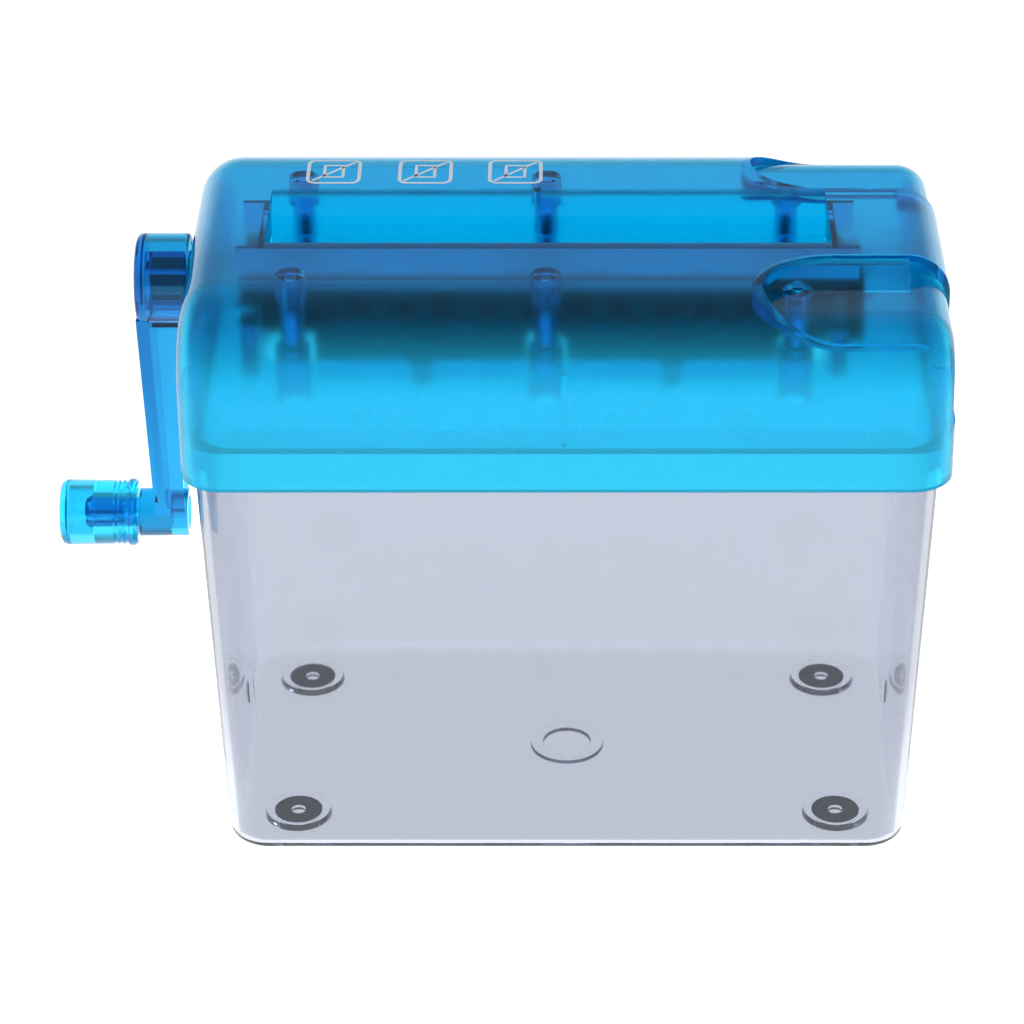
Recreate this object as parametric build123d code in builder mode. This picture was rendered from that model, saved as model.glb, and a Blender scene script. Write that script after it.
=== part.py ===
from build123d import *
import math
import os

os.makedirs("parts", exist_ok=True)

# ---------------------------------------------------------------- sizes (mm)
# Frame: X to the right, Y to the back, Z up. The crank is on the left (-X)
# side. Lengths along X are measured from the middle of the bin; the finished
# pieces are then set FRAME_X to the right, so that the origin is on the table
# under the middle of the whole object, crank included.
FRAME_X = 14.2

# head (upper housing)
HEAD_W = 142.0          # along X
HEAD_D = 85.4           # along Y
HEAD_TOP = 118.3        # flat top
SKIRT_Z = 84.0          # lower edge of the skirt
LONG_R = 18.0           # front and back top rounding
END_R = 8.0             # rounding of both ends, corners and end edges
WALL = 1.8

# recessed side scoops at the right end of the top
SCOOP_Y = 26.4          # middle of each scoop
SCOOP_HALF = 11.8       # half its width
SCOOP_TIP = 35.5        # X of the rounded tip
SCOOP_NOSE = 14.0       # length of the rounded tip
SCOOP_DEPTH = 3.5       # below the top
SCOOP_FRONT = 0.7       # below the front and back faces
SCOOP_SIDE = 0.6        # below the right end face
SCOOP_LONG_R = 12.0     # front and back rounding of the scoop floor
SCOOP_END_R = 6.0       # its rounding at the end
RAMP_STEP = 0.7         # sharp step along the band, then a slope
RAMP_END = 22.0         # Y where the slope reaches the scoop floor
SCOOP_FLOOR_Z = 95.2    # where it runs out on the end face

# paper slot, one A6 sheet wide
SLOT_LIP_R = 5.0         # outside radius of the rolled back lip
SLOT_X0, SLOT_X1 = -56.2, 49.2
SLOT_Y = 9.2
GUIDE_T = 1.2
GUIDE_X0, GUIDE_X1 = -61.4, 54.4
GUIDE_Z = 110.7
BACK_GUIDE_Z = 108.5     # the back guide reaches lower

# base plate of the head
PLATE_Z0 = 91.3
PLATE_T = 1.2
PLATE_Z1 = PLATE_Z0 + PLATE_T
PLATE_GAP = 0.2
PLATE_EDGE_T = 0.5        # the top of the plate slopes down to this at its edge
PLATE_EDGE_W = 7.0
EXIT_X0, EXIT_X1, EXIT_Y = -57.2, 49.0, 7.0

# case bosses and screws
BOSS_X = (-50.6, -3.9, 42.3)
BOSS_Y = 21.0
BOSS_R = 2.1
BOSS_ROOT_R = 2.8         # where a boss meets the top
POST_R = 3.2
POST_BORE = 2.45
POST_LAND = 2.0           # thickness of the post's closed top
BOSS_SPLIT_Z = 103.0

# cutter block
AX_Y = 5.5              # both shafts stand this far from the middle
AX_Z = 103.2
DISC_R = 6.0
SPACER_R = 4.6
HEX_AF = 5.0
N_CELL = 26
CUT_X0, CUT_X1 = -57.2, 49.0
CELL = (CUT_X1 - CUT_X0) / N_CELL
DISC_T = 3.9
SPACER_T = 2 * CELL - DISC_T
JOURNAL_R = 2.3
BUSH_IR = 2.35
BUSH_OR = 3.58
SEAT_R = 3.6
LEFT_X0, LEFT_X1 = -60.8, -57.8      # left bearing stand
RIGHT_X0, RIGHT_X1 = 49.3, 52.3      # right bearing stand
STAND_Y = 13.6
CAP_SCREW_Y = 11.4
CAP_TOP = 109.8

# stripper combs
COMB_Y = 12.1           # inner face of the bar
COMB_Z0, COMB_TOP = 96.2, 104.2
COMB_W = 39.6
COMB_XL, COMB_XR = -27.2, 19.6
COMB_SCREW_Y = 13.9

# gear pair
TEETH = 16
MODULE = 2 * AX_Y / TEETH
GEAR_X0, GEAR_X1 = 52.6, 55.6
GEAR_AF = 3.6

# bin
BIN_Z0 = 0.5
BIN_TOP = 91.2
BIN_WB, BIN_DB = 131.7, 74.2
BIN_WT, BIN_DT = 138.0, 81.1
BIN_R = 8.0
BIN_WALL = 1.6
BIN_FLOOR = 1.1
FOOT_X, FOOT_Y = 52.8, 24.45
FOOT_R = 4.6
FOOT_H = 1.7

# crank
HUB_X0, HUB_X1 = -81.8, -71.6
HUB_R = 9.0
CRANK_R = 51.0
KNOB_Z = AX_Z - CRANK_R
EYE_R = 4.7
EYE_X1 = -74.4
ARM_X0 = -80.4           # outer face of the arm at the knob
ARM_T = 2.3
COUPLING_X0 = -79.0
COUPLING_AF = 5.5
KNOB_X0, KNOB_X1 = -99.4, -84.3


def save(piece, name):
    """Set the finished piece in the object's frame and write it."""
    piece = piece.moved(Location((FRAME_X, 0, 0)))
    piece.label = name
    export_step(piece, "parts/" + name + ".step")
    print(name, round(piece.volume, 1), len(piece.solids()))


# ---------------------------------------------------------------- head shell
def loaf(half_d, top, r_long, x0, x1, r_end, z0):
    """Bread-loaf body: flat top, big front and back roundings, softened ends."""
    with BuildPart() as body:
        with BuildSketch(Plane.YZ.offset(x0)):
            with BuildLine():
                Polyline((-half_d, top - r_long), (-half_d, z0), (half_d, z0),
                         (half_d, top - r_long))
                RadiusArc((half_d, top - r_long), (half_d - r_long, top), -r_long)
                Line((half_d - r_long, top), (-half_d + r_long, top))
                RadiusArc((-half_d + r_long, top), (-half_d, top - r_long), -r_long)
            make_face()
        extrude(amount=x1 - x0)
        ends = [e for e in body.edges()
                if (abs(e.center().X - x0) < 1e-3 or abs(e.center().X - x1) < 1e-3)
                and e.center().Z > z0 + 0.01]
        fillet(ends, radius=r_end)
    return body.part


def scoop_prism(grow, z0, trim=0):
    """Both D-shaped scoop outlines, standing up from z0, grown but for the outer side."""
    mid = SCOOP_Y - (grow + trim) / 2
    half = SCOOP_HALF + (grow - trim) / 2
    with BuildPart() as prism:
        with BuildSketch(Plane.XY.offset(z0)):
            for s in (-1, 1):
                with Locations((SCOOP_TIP + SCOOP_NOSE, s * mid)):
                    Ellipse(SCOOP_NOSE + grow, half)
                with Locations((SCOOP_TIP + SCOOP_NOSE + 20, s * mid)):
                    Rectangle(40, 2 * half)
        extrude(amount=60)
    return prism.part


def scoop_floor(inset):
    """The lower surface the scoops are cut down to."""
    return loaf(HEAD_D / 2 - SCOOP_FRONT - inset, HEAD_TOP - SCOOP_DEPTH - inset,
                SCOOP_LONG_R - inset, -HEAD_W / 2, HEAD_W / 2 - SCOOP_SIDE - inset,
                SCOOP_END_R - inset, 60)


outer = loaf(HEAD_D / 2, HEAD_TOP, LONG_R, -HEAD_W / 2, HEAD_W / 2, END_R, SKIRT_Z)
inner = loaf(HEAD_D / 2 - WALL, HEAD_TOP - WALL, LONG_R - WALL,
             -HEAD_W / 2 + WALL, HEAD_W / 2 - WALL, END_R - WALL, SKIRT_Z - 5)


def scoop_ramp(inset):
    """Slope that leads from the middle band down into both scoops."""
    d = inset * 1.1
    with BuildPart() as ramp:
        with BuildSketch(Plane.YZ.offset(SCOOP_TIP - 10)):
            for s in (-1, 1):
                with BuildLine():
                    Polyline((0, 80), (0, HEAD_TOP - RAMP_STEP - d), (s * (SCOOP_Y - SCOOP_HALF), HEAD_TOP - RAMP_STEP - d),
                             (s * RAMP_END, HEAD_TOP - SCOOP_DEPTH - d), (s * RAMP_END, 80), close=True)
                make_face()
        extrude(amount=HEAD_W / 2 - END_R - SCOOP_TIP + 10)
    return ramp.part


with BuildPart() as cut_outer:
    add(scoop_prism(0, SCOOP_FLOOR_Z))
    add(scoop_floor(0), mode=Mode.SUBTRACT)
    add(scoop_ramp(0), mode=Mode.SUBTRACT)
with BuildPart() as cut_inner:
    add(scoop_prism(WALL, SCOOP_FLOOR_Z - WALL, 1.0))
    add(scoop_floor(WALL), mode=Mode.SUBTRACT)
    add(scoop_ramp(WALL), mode=Mode.SUBTRACT)

with BuildPart() as core:
    add(inner)
    add(cut_inner.part, mode=Mode.SUBTRACT)

with BuildPart() as skin:
    add(outer)
    add(cut_outer.part, mode=Mode.SUBTRACT)

# everything that stands on the inside of the shell, trimmed to the cavity
with BuildPart() as ribs:
    # front guide plate of the hopper
    with BuildSketch(Plane.XY.offset(GUIDE_Z)):
        with Locations(((GUIDE_X0 + GUIDE_X1) / 2, -SLOT_Y - GUIDE_T / 2)):
            Rectangle(GUIDE_X1 - GUIDE_X0, GUIDE_T)
    extrude(amount=10)
    # back guide plate: thin past the ends of the slot, rolling into the top between them
    with BuildSketch(Plane.XY.offset(GUIDE_Z)):
        with Locations(((GUIDE_X0 + GUIDE_X1) / 2, SLOT_Y + GUIDE_T / 2)):
            Rectangle(GUIDE_X1 - GUIDE_X0, GUIDE_T)
    extrude(amount=10)
    with BuildSketch(Plane.YZ.offset(SLOT_X0)):
        with BuildLine():
            Polyline((SLOT_Y, BACK_GUIDE_Z), (SLOT_Y, HEAD_TOP), (SLOT_Y + SLOT_LIP_R, HEAD_TOP),
                     (SLOT_Y + SLOT_LIP_R, HEAD_TOP - WALL))
            RadiusArc((SLOT_Y + SLOT_LIP_R, HEAD_TOP - WALL), (SLOT_Y + WALL, HEAD_TOP - SLOT_LIP_R), -(SLOT_LIP_R - WALL))
            Polyline((SLOT_Y + WALL, HEAD_TOP - SLOT_LIP_R), (SLOT_Y + WALL, BACK_GUIDE_Z + 2), (SLOT_Y, BACK_GUIDE_Z))
        make_face()
    extrude(amount=SLOT_X1 - SLOT_X0)
    # end plates of the hopper
    with BuildSketch(Plane.XY.offset(GUIDE_Z + 0.6)):
        with Locations((SLOT_X0 - GUIDE_T / 2, 0), (SLOT_X1 + GUIDE_T / 2, 0)):
            Rectangle(GUIDE_T, 2 * SLOT_Y + 1)
    extrude(amount=10)
    # gusset behind the back guide plate
    with BuildSketch(Plane.YZ.offset(-5.6 - 0.6)):
        Polygon((SLOT_Y + 0.9, BACK_GUIDE_Z + 1.5), (SLOT_Y + 0.9, 114), (SLOT_Y + 3.2, 117.2), (SLOT_Y + 7.0, 117.2),
                (SLOT_Y + 7.0, 115.0), align=None)
    extrude(amount=1.2)
    # screw bosses
    with BuildSketch(Plane.XY.offset(BOSS_SPLIT_Z)):
        with Locations(*[(x, s * BOSS_Y) for x in BOSS_X for s in (-1, 1)]):
            Circle(BOSS_R)
    extrude(amount=20)
    with BuildSketch(Plane.XY.offset(112.6)):
        with Locations(*[(x, s * BOSS_Y) for x in BOSS_X for s in (-1, 1)]):
            Circle(BOSS_ROOT_R)
    extrude(amount=8)
    # upright ribs on the four walls
    with BuildSketch(Plane.XY.offset(PLATE_Z1 + 0.4)):
        for s in (-1, 1):
            with Locations((-0.5, s * (HEAD_D / 2 - WALL - 0.6))):
                Rectangle(1.1, 3.2)
    extrude(amount=13.6)
    with BuildSketch(Plane.XY.offset(PLATE_Z1 + 0.4)):
        for s in (-1, 1):
            for t in (-1, 1):
                with Locations((s * (HEAD_W / 2 - WALL - 1.2), t * 36.6)):
                    Rectangle(4.4, 1.1)
    extrude(amount=13.6)

with BuildPart() as ribs_in:
    add(ribs.part)
    add(skin.part, mode=Mode.INTERSECT)

with BuildPart() as head_shell:
    add(skin.part)
    add(core.part, mode=Mode.SUBTRACT)
    add(ribs_in.part)
    # slot through the top
    with BuildSketch(Plane.XY.offset(GUIDE_Z + 1)):
        with Locations(((SLOT_X0 + SLOT_X1) / 2, 0)):
            Rectangle(SLOT_X1 - SLOT_X0, 2 * SLOT_Y)
    extrude(amount=20, mode=Mode.SUBTRACT)
    # pilot holes in the bosses
    with BuildSketch(Plane.XY.offset(BOSS_SPLIT_Z - 1)):
        with Locations(*[(x, s * BOSS_Y) for x in BOSS_X for s in (-1, 1)]):
            Circle(1.1)
    extrude(amount=13.0, mode=Mode.SUBTRACT)
    # rounded back lip of the slot
    with BuildSketch(Plane.YZ.offset(SLOT_X0)):
        with BuildLine():
            Polyline((SLOT_Y, HEAD_TOP - SLOT_LIP_R), (SLOT_Y - 0.5, HEAD_TOP - SLOT_LIP_R), (SLOT_Y - 0.5, HEAD_TOP + 1),
                     (SLOT_Y + SLOT_LIP_R, HEAD_TOP + 1), (SLOT_Y + SLOT_LIP_R, HEAD_TOP))
            RadiusArc((SLOT_Y + SLOT_LIP_R, HEAD_TOP), (SLOT_Y, HEAD_TOP - SLOT_LIP_R), -SLOT_LIP_R)
        make_face()
    extrude(amount=SLOT_X1 - SLOT_X0, mode=Mode.SUBTRACT)
    # shaft hole in the left wall
    with BuildSketch(Plane.YZ.offset(-HEAD_W / 2 - 1)):
        with Locations((AX_Y, AX_Z)):
            Circle(3.8)
    extrude(amount=4, mode=Mode.SUBTRACT)
save(head_shell.part, "head_shell")

# ---------------------------------------------------------------- base plate
with BuildPart() as head_base:
    plate_w = HEAD_W - 2 * WALL - 2 * PLATE_GAP
    plate_d = HEAD_D - 2 * WALL - 2 * PLATE_GAP
    with BuildSketch(Plane.XY.offset(PLATE_Z0)):
        RectangleRounded(plate_w, plate_d, END_R - WALL - PLATE_GAP)
    extrude(amount=PLATE_EDGE_T)
    with BuildSketch(Plane.XY.offset(PLATE_Z0 + PLATE_EDGE_T)):
        RectangleRounded(plate_w, plate_d, END_R - WALL - PLATE_GAP)
    with BuildSketch(Plane.XY.offset(PLATE_Z1)):
        RectangleRounded(plate_w - 2 * PLATE_EDGE_W, plate_d - 2 * PLATE_EDGE_W, 1.0)
    loft()
    # strip exit
    with BuildSketch(Plane.XY.offset(PLATE_Z0 - 1)):
        with Locations(((EXIT_X0 + EXIT_X1) / 2, 0)):
            RectangleRounded(EXIT_X1 - EXIT_X0, 2 * EXIT_Y, 1.5)
    extrude(amount=PLATE_T + 2, mode=Mode.SUBTRACT)
    # posts under the shell bosses
    with BuildSketch(Plane.XY.offset(PLATE_Z0)):
        with Locations(*[(x, s * BOSS_Y) for x in BOSS_X for s in (-1, 1)]):
            Circle(POST_R)
    extrude(amount=BOSS_SPLIT_Z - PLATE_Z0)
    # lower halves of the bearing stands
    for x0, x1 in ((LEFT_X0, LEFT_X1), (RIGHT_X0, RIGHT_X1)):
        with BuildSketch(Plane.YZ.offset(x0)):
            with Locations((0, (PLATE_Z0 + AX_Z) / 2)):
                Rectangle(2 * STAND_Y, AX_Z - PLATE_Z0)
            with Locations((-AX_Y, AX_Z), (AX_Y, AX_Z)):
                Circle(SEAT_R, mode=Mode.SUBTRACT)
        extrude(amount=x1 - x0)
        with BuildSketch(Plane.XY.offset(AX_Z - 5)):
            with Locations(((x0 + x1) / 2, -CAP_SCREW_Y), ((x0 + x1) / 2, CAP_SCREW_Y)):
                Circle(0.8)
        extrude(amount=6, mode=Mode.SUBTRACT)
    # counterbores and clearance holes for the case screws
    with BuildSketch(Plane.XY.offset(PLATE_Z0 - 1)):
        with Locations(*[(x, s * BOSS_Y) for x in BOSS_X for s in (-1, 1)]):
            Circle(POST_BORE)
    extrude(amount=BOSS_SPLIT_Z - POST_LAND - PLATE_Z0 + 1, mode=Mode.SUBTRACT)
    with BuildSketch(Plane.XY.offset(PLATE_Z0)):
        with Locations(*[(x, s * BOSS_Y) for x in BOSS_X for s in (-1, 1)]):
            Circle(1.35)
    extrude(amount=20, mode=Mode.SUBTRACT)
    # low walls that carry the combs, thickened at their screws
    with BuildSketch(Plane.XY.offset(PLATE_Z0)):
        with Locations(*[(x, s * (COMB_Y + 1.4)) for x in (COMB_XL, COMB_XR) for s in (-1, 1)]):
            Rectangle(39.2, 1.2)
        with Locations(*[(x, s * COMB_SCREW_Y) for x in (COMB_XL, COMB_XR) for s in (-1, 1)]):
            Circle(1.8)
    extrude(amount=COMB_Z0 - PLATE_Z0)
    with BuildSketch(Plane.XY.offset(PLATE_Z0 - 1)):
        with Locations(*[(x, s * COMB_SCREW_Y) for x in (COMB_XL, COMB_XR) for s in (-1, 1)]):
            Circle(0.95)
    extrude(amount=10, mode=Mode.SUBTRACT)
save(head_base.part, "head_base")

# ---------------------------------------------------------------- case screws
def screw(x, y, z_seat, head_r, head_h, shank_r, length, up=1):
    """Pan-head screw: the head lies against z_seat, the shank runs towards up."""
    with BuildPart() as s:
        with BuildSketch(Plane.XZ.offset(-y)):
            with BuildLine():
                Polyline((x, z_seat - up * head_h), (x + head_r * 0.62, z_seat - up * head_h),
                         (x + head_r, z_seat - up * head_h * 0.55), (x + head_r, z_seat),
                         (x + shank_r, z_seat), (x + shank_r, z_seat + up * (length - 1.0)),
                         (x + 0.25, z_seat + up * length), (x, z_seat + up * length), close=True)
            make_face()
        revolve(axis=Axis((x, y, 0), (0, 0, 1)), revolution_arc=360)
        # cross recess
        with BuildSketch(Plane.XY.offset(z_seat - up * head_h - (0.1 if up > 0 else 0.7))):
            with Locations((x, y)):
                Rectangle(head_r * 1.1, 0.45)
                Rectangle(0.45, head_r * 1.1)
        extrude(amount=0.8, mode=Mode.SUBTRACT)
    return s.part


with BuildPart() as case_screws:
    for bx in BOSS_X:
        for sy in (-1, 1):
            add(screw(bx, sy * BOSS_Y, BOSS_SPLIT_Z - POST_LAND, 2.2, 1.5, 1.08, 9.0))
save(case_screws.part, "case_screws")

# ---------------------------------------------------------------- bearing caps
def bearing_cap(x0, x1):
    with BuildPart() as cap:
        with BuildSketch(Plane.YZ.offset(x0)):
            with BuildLine():
                Polyline((-STAND_Y, AX_Z), (-STAND_Y, CAP_TOP - 4.5), (-STAND_Y + 4.5, CAP_TOP),
                         (-2.6, CAP_TOP), (-1.3, CAP_TOP - 1.6), (1.3, CAP_TOP - 1.6), (2.6, CAP_TOP),
                         (STAND_Y - 4.5, CAP_TOP), (STAND_Y, CAP_TOP - 4.5), (STAND_Y, AX_Z),
                         close=True)
            make_face()
            with Locations((-AX_Y, AX_Z), (AX_Y, AX_Z)):
                Circle(SEAT_R, mode=Mode.SUBTRACT)
        extrude(amount=x1 - x0)
        with BuildSketch(Plane.XY.offset(AX_Z - 1)):
            with Locations(((x0 + x1) / 2, -CAP_SCREW_Y), ((x0 + x1) / 2, CAP_SCREW_Y)):
                Circle(0.95)
        extrude(amount=20, mode=Mode.SUBTRACT)
        with BuildSketch(Plane.XY.offset(AX_Z + 2.4)):
            with Locations(((x0 + x1) / 2, -CAP_SCREW_Y), ((x0 + x1) / 2, CAP_SCREW_Y)):
                Rectangle(3.4, 3.9)
        extrude(amount=20, mode=Mode.SUBTRACT)
    return cap.part


save(bearing_cap(LEFT_X0, LEFT_X1), "left_bearing_cap")
save(bearing_cap(RIGHT_X0, RIGHT_X1), "right_bearing_cap")

with BuildPart() as cap_screws:
    for cx in ((LEFT_X0 + LEFT_X1) / 2, (RIGHT_X0 + RIGHT_X1) / 2):
        for cy in (-CAP_SCREW_Y, CAP_SCREW_Y):
            add(screw(cx, cy, AX_Z + 2.4, 1.4, 0.9, 0.78, 6.5, up=-1))
save(cap_screws.part, "bearing_cap_screws")

with BuildPart() as bushes:
    for x0, x1 in ((LEFT_X0, LEFT_X1), (RIGHT_X0, RIGHT_X1)):
        with BuildSketch(Plane.YZ.offset(x0)):
            for s in (-1, 1):
                with Locations((s * AX_Y, AX_Z)):
                    Circle(BUSH_OR)
                    Circle(BUSH_IR, mode=Mode.SUBTRACT)
        extrude(amount=x1 - x0)
save(bushes.part, "bearing_bushes")


# ---------------------------------------------------------------- shafts
def hexagon_radius(af):
    return af / math.sqrt(3)


def shaft(y, left_end):
    with BuildPart() as s:
        with BuildSketch(Plane.YZ.offset(CUT_X0 - 0.3)):
            with Locations((y, AX_Z)):
                RegularPolygon(hexagon_radius(HEX_AF), 6)
        extrude(amount=CUT_X1 - CUT_X0 + 0.45)
        # left journal
        with BuildSketch(Plane.YZ.offset(left_end)):
            with Locations((y, AX_Z)):
                Circle(JOURNAL_R)
        extrude(amount=CUT_X0 - left_end)
        # right journal
        with BuildSketch(Plane.YZ.offset(CUT_X1)):
            with Locations((y, AX_Z)):
                Circle(JOURNAL_R)
        extrude(amount=RIGHT_X1 + 0.15 - CUT_X1)
        # gear seat
        with BuildSketch(Plane.YZ.offset(RIGHT_X1)):
            with Locations((y, AX_Z)):
                RegularPolygon(hexagon_radius(GEAR_AF), 6)
        extrude(amount=GEAR_X1 + 0.05 - RIGHT_X1)
        with BuildSketch(Plane.YZ.offset(GEAR_X1)):
            with Locations((y, AX_Z)):
                Circle(1.7)
        extrude(amount=2.0)
        # clip grooves
        for gx, r in ((GEAR_X1 + 0.1, 1.25), (LEFT_X0 - 0.9, 1.75)):
            with BuildSketch(Plane.YZ.offset(gx)):
                with Locations((y, AX_Z)):
                    Circle(4.0)
                    Circle(r, mode=Mode.SUBTRACT)
            extrude(amount=0.7, mode=Mode.SUBTRACT)
    return s.part


with BuildPart() as drive_shaft:
    add(shaft(AX_Y, -71.5))
    with BuildSketch(Plane.YZ.offset(-77.9)):
        with Locations((AX_Y, AX_Z)):
            Circle(2.0)
    extrude(amount=6.5)
save(drive_shaft.part, "drive_shaft")
save(shaft(-AX_Y, -62.6), "idler_shaft")


def clips(y):
    with BuildPart() as c:
        for gx, r_in, r_out in ((GEAR_X1 + 0.15, 1.3, 2.7), (LEFT_X0 - 0.85, 1.8, 3.8)):
            with BuildSketch(Plane.YZ.offset(gx)):
                with Locations((y, AX_Z)):
                    Circle(r_out)
                    Circle(r_in, mode=Mode.SUBTRACT)
                with Locations((y, AX_Z + r_out)):
                    Rectangle(r_in * 1.7, 2 * r_out - 0.2, mode=Mode.SUBTRACT)
            extrude(amount=0.6)
    return c.part


save(clips(AX_Y), "drive_shaft_clips")
save(clips(-AX_Y), "idler_shaft_clips")


# ---------------------------------------------------------------- cutters
def ring_stack(y, first_cell, radius, thick, chamf):
    """Every second cell along the shaft holds one ring with a hexagonal bore."""
    with BuildPart() as st:
        for i in range(first_cell, N_CELL, 2):
            xc = CUT_X0 + (i + 0.5) * CELL
            lo = max(xc - thick / 2, CUT_X0 + 0.05)
            hi = min(xc + thick / 2, CUT_X1 - 0.05)
            with BuildPart(mode=Mode.PRIVATE) as one:
                with BuildSketch(Plane.YZ.offset(lo)):
                    with Locations((y, AX_Z)):
                        Circle(radius)
                extrude(amount=hi - lo)
                if chamf:
                    chamfer(one.edges().filter_by(GeomType.CIRCLE), length=chamf)
                with BuildSketch(Plane.YZ.offset(lo)):
                    with Locations((y, AX_Z)):
                        RegularPolygon(hexagon_radius(HEX_AF + 0.04), 6)
                extrude(amount=hi - lo, mode=Mode.SUBTRACT)
            add(one.part)
    return st.part


save(ring_stack(AX_Y, 0, DISC_R, DISC_T, 0.15), "drive_cutter_discs")
save(ring_stack(-AX_Y, 1, DISC_R, DISC_T, 0.15), "idler_cutter_discs")
save(ring_stack(AX_Y, 1, SPACER_R, SPACER_T - 0.02, 0), "drive_spacers")
save(ring_stack(-AX_Y, 0, SPACER_R, SPACER_T - 0.02, 0), "idler_spacers")


# ---------------------------------------------------------------- gears
def gear_points(cy, cz, phase, backlash=0.12):
    """Outline of one spur gear with involute flanks."""
    rp = MODULE * TEETH / 2
    rb = rp * math.cos(math.radians(20))
    ra = rp + 0.86 * MODULE
    rf = rp - 1.22 * MODULE
    inv = lambda a: math.tan(a) - a
    half = math.pi / (2 * TEETH) - backlash / 2 / rp + inv(math.radians(20))
    pts = []
    for t in range(TEETH):
        c = phase + t * 2 * math.pi / TEETH
        flank = []
        for k in range(5):
            r = rb + (ra - rb) * k / 4
            flank.append((r, half - inv(math.acos(rb / r))))
        left = [(rf, half + 0.012)] + flank
        for r, a in left:
            pts.append((cy + r * math.cos(c - a), cz + r * math.sin(c - a)))
        for r, a in reversed(left):
            pts.append((cy + r * math.cos(c + a), cz + r * math.sin(c + a)))
    return pts


def gear(cy, phase):
    with BuildPart() as g:
        with BuildSketch(Plane.YZ.offset(GEAR_X0)):
            with BuildLine():
                Polyline(*gear_points(cy, AX_Z, phase), close=True)
            make_face()
            with Locations((cy, AX_Z)):
                RegularPolygon(hexagon_radius(GEAR_AF + 0.04), 6, mode=Mode.SUBTRACT)
        extrude(amount=GEAR_X1 - GEAR_X0)
    return g.part


# a tooth of the drive gear points at the idler, which has a gap there
save(gear(AX_Y, math.pi), "drive_gear")
save(gear(-AX_Y, math.pi / TEETH), "idler_gear")


# ---------------------------------------------------------------- stripper combs
def comb(side, first_gap):
    """Two plates joined by a short bridge, with fingers between one roller's discs."""
    with BuildPart() as cb:
        with BuildSketch(Plane.XY.offset(COMB_Z0)):
            with Locations((COMB_XL, side * (COMB_Y + 1.0)), (COMB_XR, side * (COMB_Y + 1.0))):
                Rectangle(COMB_W, 2.0)
        extrude(amount=COMB_TOP - COMB_Z0)
        # bridge between the plates
        with BuildSketch(Plane.XY.offset(COMB_TOP - 2.2)):
            with Locations(((COMB_XL + COMB_XR) / 2, side * (COMB_Y + 1.0))):
                Rectangle(COMB_XR - COMB_XL - COMB_W + 2, 2.0)
        extrude(amount=2.2)
        # thicker where the screws go in
        with BuildSketch(Plane.XY.offset(COMB_Z0)):
            with Locations(*[(x, side * (COMB_Y + 1.7)) for x in (COMB_XL, COMB_XR)]):
                Rectangle(4.6, 3.4)
        extrude(amount=5.2)
        # fingers
        with BuildSketch(Plane.XY.offset(AX_Z - 4)):
            for i in range(first_gap, N_CELL, 2):
                xc = CUT_X0 + (i + 0.5) * CELL
                if min(abs(xc - COMB_XL), abs(xc - COMB_XR)) < COMB_W / 2 - 1.7:
                    with Locations((xc, side * (COMB_Y - 0.4))):
                        Rectangle(3.4, 2.4)
        extrude(amount=COMB_TOP - AX_Z + 4)
        # pilot holes
        with BuildSketch(Plane.XY.offset(COMB_Z0 - 1)):
            with Locations((COMB_XL, side * COMB_SCREW_Y), (COMB_XR, side * COMB_SCREW_Y)):
                Circle(0.75)
        extrude(amount=5.5, mode=Mode.SUBTRACT)
    return cb.part


save(comb(-1, 0), "front_stripper_comb")
save(comb(1, 1), "rear_stripper_comb")

with BuildPart() as comb_screws:
    for sx in (COMB_XL, COMB_XR):
        for sy in (-1, 1):
            add(screw(sx, sy * COMB_SCREW_Y, PLATE_Z0, 1.7, 1.1, 0.73, 8.6))
save(comb_screws.part, "comb_screws")

# ---------------------------------------------------------------- bin
with BuildPart() as bin_part:
    with BuildSketch(Plane.XY.offset(BIN_Z0)):
        RectangleRounded(BIN_WB, BIN_DB, BIN_R)
    with BuildSketch(Plane.XY.offset(BIN_TOP)):
        RectangleRounded(BIN_WT, BIN_DT, BIN_R)
    loft()
    fillet(bin_part.faces().sort_by(Axis.Z)[0].edges(), radius=2.6)
with BuildPart() as bin_cavity:
    zi = BIN_Z0 + BIN_FLOOR
    f = (zi - BIN_Z0) / (BIN_TOP - BIN_Z0)
    with BuildSketch(Plane.XY.offset(zi)):
        RectangleRounded(BIN_WB + (BIN_WT - BIN_WB) * f - 2 * BIN_WALL,
                         BIN_DB + (BIN_DT - BIN_DB) * f - 2 * BIN_WALL, BIN_R - BIN_WALL)
    with BuildSketch(Plane.XY.offset(BIN_TOP)):
        RectangleRounded(BIN_WT - 2 * BIN_WALL, BIN_DT - 2 * BIN_WALL, BIN_R - BIN_WALL)
    loft()
    fillet(bin_cavity.faces().sort_by(Axis.Z)[0].edges(), radius=1.6)
    # reach past the rim
    extrude(bin_cavity.faces().sort_by(Axis.Z)[-1], amount=2)

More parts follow.
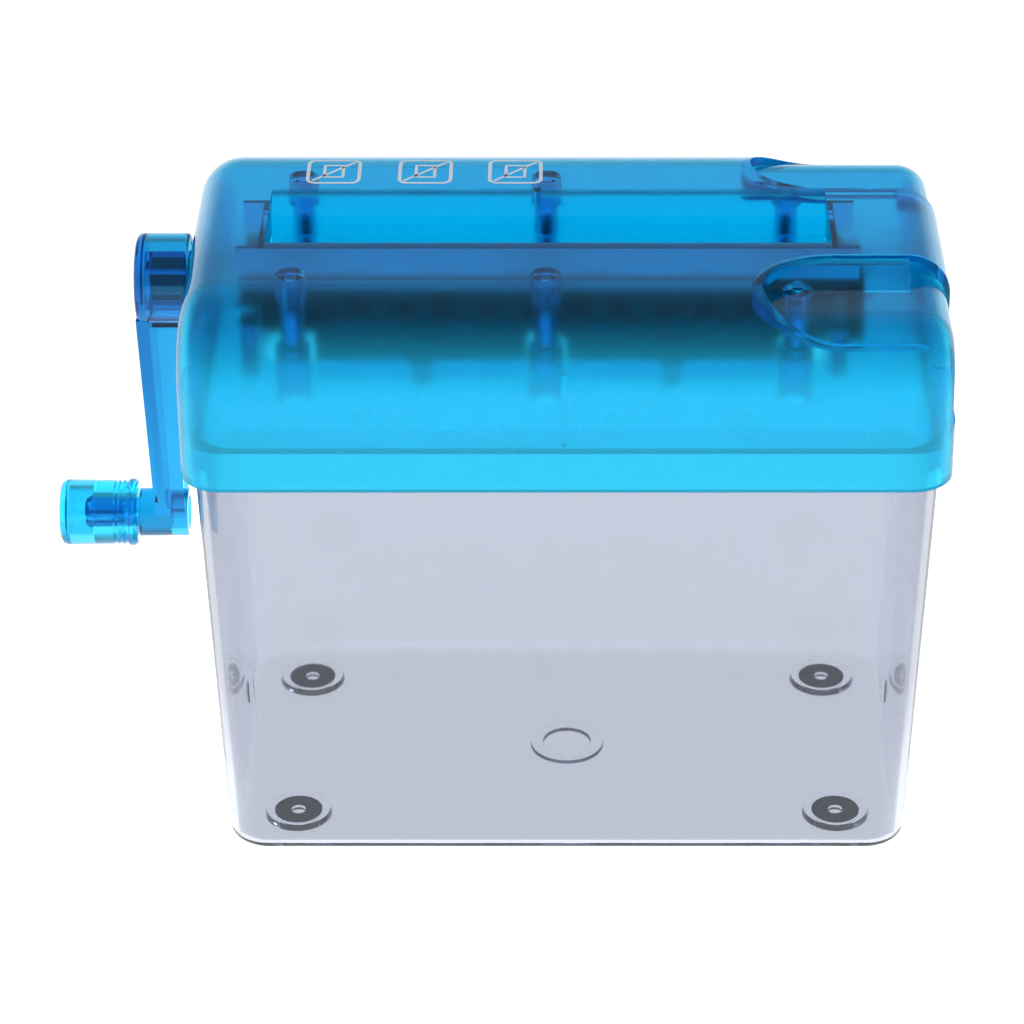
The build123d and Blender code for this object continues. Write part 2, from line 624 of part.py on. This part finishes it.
with BuildPart() as bin_body:
    add(bin_part.part)
    add(bin_cavity.part, mode=Mode.SUBTRACT)
    # domed boss over each foot
    for fx in (-FOOT_X, FOOT_X):
        for fy in (-FOOT_Y, FOOT_Y):
            with BuildSketch(Plane.XY.offset(BIN_Z0 + 0.5)):
                with Locations((fx, fy)):
                    Circle(6.75)
            extrude(amount=FOOT_H + 1.1 - BIN_Z0 - 0.5, taper=14)
            with BuildSketch(Plane.XY.offset(BIN_Z0 - 0.5)):
                with Locations((fx, fy)):
                    Circle(FOOT_R + 0.1)
                    Circle(1.45, mode=Mode.SUBTRACT)
            extrude(amount=FOOT_H - BIN_Z0 + 0.5, mode=Mode.SUBTRACT)
    # ring in the middle of the floor
    with BuildSketch(Plane.XY.offset(BIN_Z0 + BIN_FLOOR - 0.2)):
        Circle(7.4)
        Circle(4.65, mode=Mode.SUBTRACT)
    extrude(amount=0.9, taper=12)
    # round dimples low on both end walls
    for s in (-1, 1):
        with BuildSketch(Plane.YZ.offset(s * 65.5)):
            with Locations((0, 14.0)):
                Circle(3.0)
        extrude(amount=-s * 1.2, taper=35)
save(bin_body.part, "bin")

with BuildPart() as feet:
    with BuildSketch(Plane.XY):
        with Locations(*[(x, y) for x in (-FOOT_X, FOOT_X) for y in (-FOOT_Y, FOOT_Y)]):
            Circle(FOOT_R)
            Circle(1.5, mode=Mode.SUBTRACT)
    extrude(amount=FOOT_H)
    chamfer([e for e in feet.edges().filter_by(GeomType.CIRCLE)
             if e.center().Z < 0.01 and e.radius > 3], length=0.3)
save(feet.part, "rubber_feet")

# ---------------------------------------------------------------- crank
with BuildPart() as arm_side:
    # side outline of the arm, leaning in towards the knob
    with BuildSketch(Plane.XZ.offset(-AX_Y)):
        Polygon((HUB_X0 - 0.1, AX_Z - 4), (ARM_X0, KNOB_Z - 8), (ARM_X0 + ARM_T, KNOB_Z - 8),
                (HUB_X0 - 0.1 + ARM_T, AX_Z - 4), align=None)
    extrude(amount=12, both=True)
with BuildPart() as arm_side_flange:
    with BuildSketch(Plane.XZ.offset(-AX_Y)):
        Polygon((HUB_X0 + 0.4, AX_Z - 4), (ARM_X0 + 0.5, KNOB_Z - 8), (EYE_X1 - 0.1, KNOB_Z - 8),
                (EYE_X1 - 0.5, KNOB_Z + 6), (HUB_X1 - 1.4, AX_Z - 4), align=None)
    extrude(amount=12, both=True)
with BuildPart() as arm_plate:
    # front outline of the arm, narrowing towards the knob
    with BuildSketch(Plane.YZ.offset(-90)):
        with BuildLine():
            Polyline((AX_Y - 7.2, AX_Z - 5.2), (AX_Y + 7.2, AX_Z - 5.2),
                     (AX_Y + EYE_R, KNOB_Z), (AX_Y - EYE_R, KNOB_Z), close=True)
        make_face()
        with Locations((AX_Y, KNOB_Z)):
            Circle(EYE_R)
    extrude(amount=30)
    add(arm_side.part, mode=Mode.INTERSECT)
with BuildPart() as arm_flanges:
    with BuildSketch(Plane.YZ.offset(-90)):
        for s in (-1, 1):
            with BuildLine():
                Polyline((AX_Y + s * 7.2, AX_Z - 5.2), (AX_Y + s * EYE_R, KNOB_Z),
                         (AX_Y + s * (EYE_R - 1.3), KNOB_Z), (AX_Y + s * 5.9, AX_Z - 5.2),
                         close=True)
            make_face()
    extrude(amount=30)
    add(arm_side_flange.part, mode=Mode.INTERSECT)

with BuildPart() as crank_arm:
    # hub
    with BuildSketch(Plane.YZ.offset(HUB_X0)):
        with Locations((AX_Y, AX_Z)):
            Circle(HUB_R)
    extrude(amount=HUB_X1 - HUB_X0)
    fillet([e for e in crank_arm.edges().filter_by(GeomType.CIRCLE)
            if abs(e.center().X - HUB_X0) < 0.01], radius=1.4)
    fillet([e for e in crank_arm.edges().filter_by(GeomType.CIRCLE)
            if abs(e.center().X - HUB_X1) < 0.01], radius=0.7)
    # hollow of the hub, open towards the head
    with BuildSketch(Plane.YZ.offset(HUB_X0 + 2.0)):
        with Locations((AX_Y, AX_Z)):
            Circle(HUB_R - 1.5)
            Rectangle(8.4, 8.4, mode=Mode.SUBTRACT)
    extrude(amount=20, mode=Mode.SUBTRACT)
    # square socket
    with BuildSketch(Plane.YZ.offset(COUPLING_X0 - 0.1)):
        with Locations((AX_Y, AX_Z)):
            Rectangle(COUPLING_AF + 0.1, COUPLING_AF + 0.1)
    extrude(amount=20, mode=Mode.SUBTRACT)
    # the arm stops at the outside of the hub
    add(arm_plate.part)
    add(arm_flanges.part)
    with BuildSketch(Plane.YZ.offset(HUB_X0 + 2.0)):
        with Locations((AX_Y, AX_Z)):
            Circle(HUB_R - 1.5)
            Rectangle(8.4, 8.4, mode=Mode.SUBTRACT)
    extrude(amount=20, mode=Mode.SUBTRACT)
    # eye at the lower end
    with BuildSketch(Plane.YZ.offset(ARM_X0 + 0.6)):
        with Locations((AX_Y, KNOB_Z)):
            Circle(EYE_R)
    extrude(amount=EYE_X1 - ARM_X0 - 0.6)
    with BuildSketch(Plane.YZ.offset(ARM_X0 + ARM_T + 0.3)):
        with Locations((AX_Y, KNOB_Z)):
            Circle(EYE_R - 1.4)
    extrude(amount=20, mode=Mode.SUBTRACT)
    # neck, then the split snap pin that carries the knob
    with BuildSketch(Plane.YZ.offset(KNOB_X1 + 0.3)):
        with Locations((AX_Y, KNOB_Z)):
            Circle(4.75)
    extrude(amount=ARM_X0 + 1.5 - KNOB_X1 - 0.3)
    with BuildSketch(Plane.YZ.offset(-93.7)):
        with Locations((AX_Y, KNOB_Z)):
            Circle(2.9)
    extrude(amount=11)
    with BuildSketch(Plane.YZ.offset(-94.7)):
        with Locations((AX_Y, KNOB_Z)):
            Circle(2.6)
    extrude(amount=1.61, taper=-32)
    with BuildSketch(Plane.YZ.offset(-95.1)):
        with Locations((AX_Y, KNOB_Z)):
            Rectangle(9, 1.2)
            Rectangle(1.2, 9)
    extrude(amount=8.0, mode=Mode.SUBTRACT)
save(crank_arm.part, "crank_arm")

with BuildPart() as coupling:
    with BuildSketch(Plane.YZ.offset(COUPLING_X0)):
        with Locations((AX_Y, AX_Z)):
            RectangleRounded(COUPLING_AF, COUPLING_AF, 0.3)
    extrude(amount=7.2)
    with BuildSketch(Plane.YZ.offset(-78.0)):
        with Locations((AX_Y, AX_Z)):
            Circle(2.04)
    extrude(amount=8, mode=Mode.SUBTRACT)
save(coupling.part, "drive_coupling")

with BuildPart() as knob:
    with BuildSketch(Plane.XZ.offset(-AX_Y)):
        with BuildLine():
            profile = [(KNOB_X0, 0), (KNOB_X0, 5.6), (KNOB_X0 + 0.4, 6.2), (KNOB_X0 + 1.2, 6.45)]
            # straight grip, then three fine grooves and a swelling at the open end
            for gx in (-88.6, -87.6, -86.6):
                profile += [(gx - 0.3, 6.3), (gx - 0.1, 6.05), (gx + 0.1, 6.05), (gx + 0.3, 6.35)]
            profile += [(-85.9, 6.6), (-85.1, 6.6), (KNOB_X1, 6.1)]
            # bore with a step that the snap pin locks behind
            profile += [(KNOB_X1, 2.98), (-93.0, 2.98), (-93.0, 4.6), (KNOB_X0 + 1.6, 4.6), (KNOB_X0 + 1.6, 0)]
            Polyline(*[(x, KNOB_Z + r) for x, r in profile], close=True)
        make_face()
    revolve(axis=Axis((0, AX_Y, KNOB_Z), (1, 0, 0)), revolution_arc=360)
save(knob.part, "crank_knob")
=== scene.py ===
import math
import bpy
import bmesh
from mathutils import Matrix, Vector
from mathutils.bvhtree import BVHTree


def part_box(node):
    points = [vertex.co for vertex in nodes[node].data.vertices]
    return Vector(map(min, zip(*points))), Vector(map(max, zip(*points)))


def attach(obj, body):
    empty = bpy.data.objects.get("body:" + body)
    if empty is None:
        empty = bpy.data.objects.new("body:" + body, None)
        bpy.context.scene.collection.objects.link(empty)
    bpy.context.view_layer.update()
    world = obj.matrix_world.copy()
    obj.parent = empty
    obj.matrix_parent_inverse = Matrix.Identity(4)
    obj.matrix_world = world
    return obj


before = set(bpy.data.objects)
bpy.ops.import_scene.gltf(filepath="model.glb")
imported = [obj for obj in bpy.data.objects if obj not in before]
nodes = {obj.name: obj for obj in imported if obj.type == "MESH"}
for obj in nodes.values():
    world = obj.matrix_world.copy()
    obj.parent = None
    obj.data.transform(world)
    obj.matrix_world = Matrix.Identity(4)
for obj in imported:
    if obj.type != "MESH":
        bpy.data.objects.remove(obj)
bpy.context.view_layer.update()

scene = bpy.context.scene

bin_lo, bin_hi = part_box("bin")
OX = (bin_lo[0] + bin_hi[0]) / 2          # the middle of the bin along X


# ------------------------------------------------------------------ materials
def new_mat(name):
    m = bpy.data.materials.new(name)
    m.use_nodes = True
    nt = m.node_tree
    nt.nodes.clear()
    out = nt.nodes.new("ShaderNodeOutputMaterial")
    b = nt.nodes.new("ShaderNodeBsdfPrincipled")
    nt.links.new(b.outputs["BSDF"], out.inputs["Surface"])
    return m, nt, b, out


def tex_noise(nt, scale, detail=3.0, rough=0.55, stretch=None):
    tc = nt.nodes.new("ShaderNodeTexCoord")
    n = nt.nodes.new("ShaderNodeTexNoise")
    n.inputs["Scale"].default_value = scale
    n.inputs["Detail"].default_value = detail
    n.inputs["Roughness"].default_value = rough
    src = tc.outputs["Object"]
    if stretch:
        mp = nt.nodes.new("ShaderNodeMapping")
        mp.inputs["Scale"].default_value = stretch
        nt.links.new(src, mp.inputs["Vector"])
        src = mp.outputs["Vector"]
    nt.links.new(src, n.inputs["Vector"])
    return n


def remap(nt, src, lo, hi, a=0.3, b=0.7):
    r = nt.nodes.new("ShaderNodeMapRange")
    r.inputs["From Min"].default_value = a
    r.inputs["From Max"].default_value = b
    r.inputs["To Min"].default_value = lo
    r.inputs["To Max"].default_value = hi
    nt.links.new(src, r.inputs["Value"])
    return r.outputs["Result"]


def bump(nt, bsdf, src, strength, dist):
    bp = nt.nodes.new("ShaderNodeBump")
    bp.inputs["Strength"].default_value = strength
    bp.inputs["Distance"].default_value = dist
    nt.links.new(src, bp.inputs["Height"])
    nt.links.new(bp.outputs["Normal"], bsdf.inputs["Normal"])


def clear_plastic(name, tint, absorb, density, rough, rough_var, ior=1.49, spec=0.5, gloss=(1, 1, 1), bump_s=0.0, bump_scale=900.0, frost=None, haze_and_painted_light=0.0):
    """Clear or tinted moulded plastic. frost is the roughness of the faces marked as frosted,
    and the haze share is the light that the other faces scatter; with frost it fades out with
    height, painted light that keeps the lower front lighter and the top darker."""
    m, nt, b, out = new_mat(name)
    b.inputs["Base Color"].default_value = (*tint, 1)
    b.inputs["Transmission Weight"].default_value = 1.0
    b.inputs["IOR"].default_value = ior
    b.inputs["Specular IOR Level"].default_value = spec
    b.inputs["Specular Tint"].default_value = (*gloss, 1)
    n = tex_noise(nt, 120.0, 4.0)
    r = remap(nt, n.outputs["Fac"], rough - rough_var, rough + rough_var)
    if frost:
        at = nt.nodes.new("ShaderNodeAttribute")
        at.attribute_name = "frost"
        rf = remap(nt, n.outputs["Fac"], frost * 0.88, frost * 1.12)
        mx = nt.nodes.new("ShaderNodeMix")
        nt.links.new(at.outputs["Fac"], mx.inputs["Factor"])
        nt.links.new(r, mx.inputs["A"])
        nt.links.new(rf, mx.inputs["B"])
        r = mx.outputs["Result"]
        if haze_and_painted_light:
            # the haze lies on the outer skin, where it fades out with height over the top rounding,
            # and on the front guide plate; the fade with height is painted light, lighter on the lower
            # front and darker on the top, and the guide plate's fixed share is painted light too
            tc = nt.nodes.new("ShaderNodeTexCoord")
            sep = nt.nodes.new("ShaderNodeSeparateXYZ")
            nt.links.new(tc.outputs["Object"], sep.inputs["Vector"])
            painted_light_by_height = remap(nt, sep.outputs["Z"], haze_and_painted_light, 0.0, 0.1075, 0.1145)
            skin = remap(nt, at.outputs["Fac"], 1.0, 0.0, 0.0, 1.0)
            mul = nt.nodes.new("ShaderNodeMath")
            mul.operation = "MULTIPLY"
            nt.links.new(painted_light_by_height, mul.inputs[0])
            nt.links.new(skin, mul.inputs[1])
            gd = nt.nodes.new("ShaderNodeAttribute")
            gd.attribute_name = "guide"
            both = nt.nodes.new("ShaderNodeMath")
            both.operation = "ADD"
            nt.links.new(mul.outputs["Value"], both.inputs[0])
            nt.links.new(remap(nt, gd.outputs["Fac"], 0.0, 0.8, 0.0, 1.0), both.inputs[1])
            nt.links.new(remap(nt, both.outputs["Value"], 1.0, 0.0, 0.0, 1.0), b.inputs["Transmission Weight"])
    elif haze_and_painted_light:
        b.inputs["Transmission Weight"].default_value = 1.0 - haze_and_painted_light
    nt.links.new(r, b.inputs["Roughness"])
    if bump_s:
        n2 = tex_noise(nt, bump_scale, 2.0)
        bump(nt, b, n2.outputs["Fac"], bump_s, 0.0002)
    if density:
        va = nt.nodes.new("ShaderNodeVolumeAbsorption")
        va.inputs["Color"].default_value = (*absorb, 1)
        va.inputs["Density"].default_value = density
        nt.links.new(va.outputs["Volume"], out.inputs["Volume"])
    return m


def opaque(name, color, color2, rough, metallic=0.0, scale=200.0, bump_s=0.1, bump_scale=1500.0, spec=0.5, stretch=None):
    m, nt, b, out = new_mat(name)
    n = tex_noise(nt, scale, 5.0, stretch=stretch)
    mix = nt.nodes.new("ShaderNodeMix")
    mix.data_type = "RGBA"
    mix.inputs["A"].default_value = (*color, 1)
    mix.inputs["B"].default_value = (*color2, 1)
    nt.links.new(remap(nt, n.outputs["Fac"], 0, 1), mix.inputs["Factor"])
    nt.links.new(mix.outputs["Result"], b.inputs["Base Color"])
    b.inputs["Metallic"].default_value = metallic
    b.inputs["Specular IOR Level"].default_value = spec
    nt.links.new(remap(nt, n.outputs["Fac"], rough * 0.8, rough * 1.25), b.inputs["Roughness"])
    if bump_s:
        n2 = tex_noise(nt, bump_scale, 3.0)
        bump(nt, b, n2.outputs["Fac"], bump_s, 0.0001)
    return m


BLUE_TINT = (0.03, 0.73, 1.0)
BLUE_ABS = (0.6, 0.84, 0.93)
BLUE_DEN = 260.0
GLOSS = (0.28, 0.72, 1.0)
blue_out = clear_plastic("blue_shell", BLUE_TINT, BLUE_ABS, BLUE_DEN, 0.05, 0.02, spec=0.3, gloss=GLOSS, frost=0.24, haze_and_painted_light=0.2)
blue_in = clear_plastic("blue_base", BLUE_TINT, BLUE_ABS, BLUE_DEN, 0.25, 0.05, spec=0.3, gloss=GLOSS)
blue_crank = clear_plastic("blue_crank", (0.15, 0.64, 0.86), (0.0, 0.81, 0.92), 480.0, 0.06, 0.03, spec=0.3, gloss=(0.45, 0.75, 1.0))
blue_knob = clear_plastic("blue_knob", (0.16, 0.76, 0.97), (0.0, 0.90, 0.985), 170.0, 0.12, 0.04, spec=0.3, gloss=GLOSS)
# painted shade: the bin's grey base colour stands in for the shade the head casts over it; the weak blue absorption is
# the clear plastic's own faint tint
clear_in = clear_plastic("bin_clear", (0.595, 0.61, 0.655), (0.25, 0.45, 0.8), 30.0, 0.03, 0.012, spec=0.35, gloss=(0.85, 0.9, 1.0))
black_pl = opaque("black_plastic", (0.012, 0.012, 0.014), (0.022, 0.022, 0.025), 0.5, spec=0.3)
# painted sheen: the stripper combs are black plastic, drawn mid-grey in place of the light their gloss reflects
comb_black_sheen_pl = opaque("grey_plastic", (0.10, 0.103, 0.106), (0.15, 0.153, 0.156), 0.55, spec=0.2, scale=900.0)
cut_steel = opaque("cutter_steel", (0.03, 0.032, 0.036), (0.06, 0.062, 0.068), 0.38, metallic=0.8)
steel = opaque("shaft_steel", (0.48, 0.49, 0.51), (0.56, 0.57, 0.59), 0.25, metallic=1.0)
bronze = opaque("bush_bronze", (0.45, 0.30, 0.14), (0.58, 0.40, 0.20), 0.4, metallic=1.0)
zinc = opaque("zinc_screw", (0.60, 0.61, 0.63), (0.72, 0.73, 0.75), 0.3, metallic=1.0)
rubber = opaque("foot_rubber", (0.06, 0.062, 0.07), (0.08, 0.082, 0.092), 0.75, spec=0.3)

MAT = {
    "head_shell": blue_out, "head_base": blue_in, "crank_arm": blue_crank, "crank_knob": blue_knob,
    "bin": clear_in,
    "left_bearing_cap": black_pl, "right_bearing_cap": black_pl, "front_stripper_comb": comb_black_sheen_pl,
    "rear_stripper_comb": comb_black_sheen_pl, "drive_gear": black_pl, "idler_gear": black_pl,
    "drive_coupling": black_pl, "drive_spacers": black_pl, "idler_spacers": black_pl,
    "drive_cutter_discs": cut_steel, "idler_cutter_discs": cut_steel,
    "drive_shaft": steel, "idler_shaft": steel, "drive_shaft_clips": steel, "idler_shaft_clips": steel,
    "bearing_bushes": bronze,
    "bearing_cap_screws": zinc, "comb_screws": zinc, "case_screws": zinc,
    "rubber_feet": rubber,
}
for name, mat in MAT.items():
    o = nodes[name]
    o.data.materials.clear()
    o.data.materials.append(mat)

# the inside of the shell is a fine frosted surface, the outside is polished
shell = nodes["head_shell"]
bm = bmesh.new()
bm.from_mesh(shell.data)
tree = BVHTree.FromBMesh(bm)
bm.free()


def outside(c, n):
    """True on the polished outer skin: nothing of the shell stands in front of the face."""
    if n.z < -0.2:
        return False
    return tree.ray_cast(c + n * 2e-5, n)[0] is None


fr = shell.data.attributes.new("frost", "FLOAT", "FACE")
fr.data.foreach_set("value", [0.0 if outside(p.center, p.normal) else 1.0 for p in shell.data.polygons])

# painted light: the front guide plate of the slot is made 80 % diffuse so that it shows up bright, standing in for the
# light that reaches it through the slot
gu = shell.data.attributes.new("guide", "FLOAT", "FACE")
gu.data.foreach_set("value", [1.0 if -0.0108 < p.center.y < -0.0088 and 0.1100 < p.center.z < 0.1168
                              and abs(p.normal.y) > 0.7 else 0.0 for p in shell.data.polygons])

# ------------------------------------------------------------------ printed marks
ink = opaque("print_ink", (0.80, 0.84, 0.86), (0.88, 0.90, 0.92), 0.5, spec=0.2)
TOP_Z, FLAT_Y, ROUND_R = 0.1183, 0.0247, 0.018     # the top and where its back rounding starts


def on_top(x, y, lift):
    """A point over the top of the head, following the back rounding."""
    if y <= FLAT_Y:
        return (x, y, TOP_Z + lift)
    a = (y - FLAT_Y) / ROUND_R
    r = ROUND_R + lift
    return (x, FLAT_Y + r * math.sin(a), TOP_Z - ROUND_R + r * math.cos(a))


def stroke(verts, faces, path, width, closed=False):
    """A flat printed line of even width along path, laid on the top with a little thickness."""
    n = len(path)
    rows = []
    for i, (x, y) in enumerate(path):
        ax, ay = path[i - 1] if (closed or i) else path[i]
        bx, by = path[(i + 1) % n] if (closed or i < n - 1) else path[i]
        dx, dy = bx - ax, by - ay
        d = math.hypot(dx, dy) or 1.0
        nx, ny = -dy / d * width / 2, dx / d * width / 2
        rows.append(((x + nx, y + ny), (x - nx, y - ny)))
    base = len(verts)
    for l, r in rows:
        verts += [on_top(*l, 0.000005), on_top(*r, 0.000005), on_top(*l, 0.00002), on_top(*r, 0.00002)]
    for i in range(n if closed else n - 1):
        a = base + 4 * i
        c = base + 4 * ((i + 1) % n)
        faces += [(a + 2, a + 3, c + 3, c + 2), (a, c, c + 1, a + 1), (a, a + 2, c + 2, c), (a + 1, c + 1, c + 3, a + 3)]
    if not closed:
        a, c = base, base + 4 * (n - 1)
        faces += [(a, a + 1, a + 3, a + 2), (c, c + 2, c + 3, c + 1)]


def along(points, step=0.0006):
    """The same broken line with points close enough to follow a rounding."""
    out = [points[0]]
    for (ax, ay), (bx, by) in zip(points, points[1:]):
        k = max(1, math.ceil(math.hypot(bx - ax, by - ay) / step))
        out += [(ax + (bx - ax) * t / k, ay + (by - ay) * t / k) for t in range(1, k + 1)]
    return out


verts, faces = [], []
for cx in (-0.0448, -0.0272, -0.0099):
    x0, x1, y0, y1, rr = OX + cx - 0.0049, OX + cx + 0.0049, 0.0168, 0.0272, 0.0016
    ring = []
    for px, py, a0 in ((x1 - rr, y1 - rr, 0), (x0 + rr, y1 - rr, 90), (x0 + rr, y0 + rr, 180), (x1 - rr, y0 + rr, 270)):
        ring += [(px + rr * math.cos(math.radians(a0 + t)), py + rr * math.sin(math.radians(a0 + t))) for t in range(0, 91, 15)]
    ring.append(ring[0])
    stroke(verts, faces, along(ring)[:-1], 0.0007, closed=True)
    # a plain slash and a plain block, with no lettering
    stroke(verts, faces, along([(x0 + 0.0009, y0 + 0.0010), (x1 - 0.0009, y1 - 0.0010)]), 0.0006)
    mx, my = (x0 + x1) / 2, (y0 + y1) / 2
    block = [(mx - 0.0018, my - 0.0026), (mx + 0.0018, my - 0.0026), (mx + 0.0018, my + 0.0026), (mx - 0.0018, my + 0.0026), (mx - 0.0018, my - 0.0026)]
    stroke(verts, faces, along(block)[:-1], 0.0006, closed=True)
mark_me = bpy.data.meshes.new("printed_marks")
mark_me.from_pydata(verts, [], faces)
marks = bpy.data.objects.new("printed_marks", mark_me)
scene.collection.objects.link(marks)
mark_me.materials.append(ink)
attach(marks, "head")

# ------------------------------------------------------------------ floor, light, camera
floor_me = bpy.data.meshes.new("floor")
floor_me.from_pydata([(-6, -6, 0), (6, -6, 0), (6, 6, 0), (-6, 6, 0)], [], [(0, 1, 2, 3)])
floor = bpy.data.objects.new("floor", floor_me)
scene.collection.objects.link(floor)
fm, fnt, fb, _ = new_mat("floor_white")
fb.inputs["Base Color"].default_value = (0.18, 0.18, 0.18, 1)
fb.inputs["Roughness"].default_value = 0.8
fb.inputs["Specular IOR Level"].default_value = 0.0
fb.inputs["Emission Color"].default_value = (1, 1, 1, 1)
# painted pool of light: the floor's emission is raised to 1.5 under and before the object, which fills
# its shadow, and falls off to the even 1.06, plain white, behind it and at its sides
ftc = fnt.nodes.new("ShaderNodeTexCoord")
fsep = fnt.nodes.new("ShaderNodeSeparateXYZ")
fnt.links.new(ftc.outputs["Object"], fsep.inputs["Vector"])
fdx = fnt.nodes.new("ShaderNodeMath")
fdx.operation = "SUBTRACT"
fnt.links.new(fsep.outputs["X"], fdx.inputs[0])
fdx.inputs[1].default_value = OX
fax = fnt.nodes.new("ShaderNodeMath")
fax.operation = "ABSOLUTE"
fnt.links.new(fdx.outputs["Value"], fax.inputs[0])
fmul = fnt.nodes.new("ShaderNodeMath")
fmul.operation = "MULTIPLY"
fnt.links.new(remap(fnt, fsep.outputs["Y"], 1.0, 0.0, 0.135, 0.20), fmul.inputs[0])
fnt.links.new(remap(fnt, fax.outputs["Value"], 1.0, 0.0, 0.082, 0.105), fmul.inputs[1])
fnt.links.new(remap(fnt, fmul.outputs["Value"], 1.06, 1.5, 0.0, 1.0), fb.inputs["Emission Strength"])
floor.data.materials.append(fm)

w = bpy.data.worlds.new("world")
scene.world = w
w.use_nodes = True
wn = w.node_tree
bg = wn.nodes["Background"]
bg.inputs["Strength"].default_value = 1.0
wtc = wn.nodes.new("ShaderNodeTexCoord")
wsep = wn.nodes.new("ShaderNodeSeparateXYZ")
wramp = wn.nodes.new("ShaderNodeValToRGB")
wn.links.new(wtc.outputs["Generated"], wsep.inputs["Vector"])
wn.links.new(wsep.outputs["Z"], wramp.inputs["Fac"])
wn.links.new(wramp.outputs["Color"], bg.inputs["Color"])
cr = wramp.color_ramp
cr.elements[0].position = 0.06
cr.elements[0].color = (0.92, 0.93, 0.95, 1)
cr.elements[1].position = 0.26
cr.elements[1].color = (0.38, 0.42, 0.48, 1)


def area(name, loc, target, size, power, size_y=None):
    d = bpy.data.lights.new(name, "AREA")
    d.energy = power
    d.size = size
    if size_y:
        d.shape = "RECTANGLE"
        d.size_y = size_y
    o = bpy.data.objects.new(name, d)
    o.location = loc
    o.rotation_euler = (Vector(target) - Vector(loc)).to_track_quat("-Z", "Y").to_euler()
    scene.collection.objects.link(o)
    return o


left_box = area("left_box", (-1.0, 0.1, 1.0), (OX, 0, 0.1), 0.6, 4.5)
right_box = area("right_box", (1.1, -0.2, 0.9), (OX, 0, 0.1), 0.6, 1.0)
front_panel = area("front_panel", (OX, -0.36, 0.085), (OX, 0, 0.085), 1.0, 2.1, 0.16)
for lamp in (left_box, right_box, front_panel):
    lamp.visible_glossy = False       # they fill, and leave no streak on the polished roundings

cam_d = bpy.data.cameras.new("camera")
cam = bpy.data.objects.new("camera", cam_d)
scene.collection.objects.link(cam)
cam_d.sensor_width = 36.0
cam_d.lens = 3860.06 / 1024 * 36.0
cam_d.shift_x = -(566.9 - 512) / 1024
cam.location = (OX, -0.65435, 0.43249)
cam.rotation_euler = (math.radians(90 - 29.96), 0, 0)
cam_d.clip_start = 0.01
cam_d.clip_end = 50
scene.camera = cam
scene.view_settings.view_transform = "Standard"
# light that is reflected inside the clear walls needs many bounces
scene.cycles.max_bounces = 28
scene.cycles.transmission_bounces = 28
scene.cycles.glossy_bounces = 20
scene.cycles.diffuse_bounces = 3
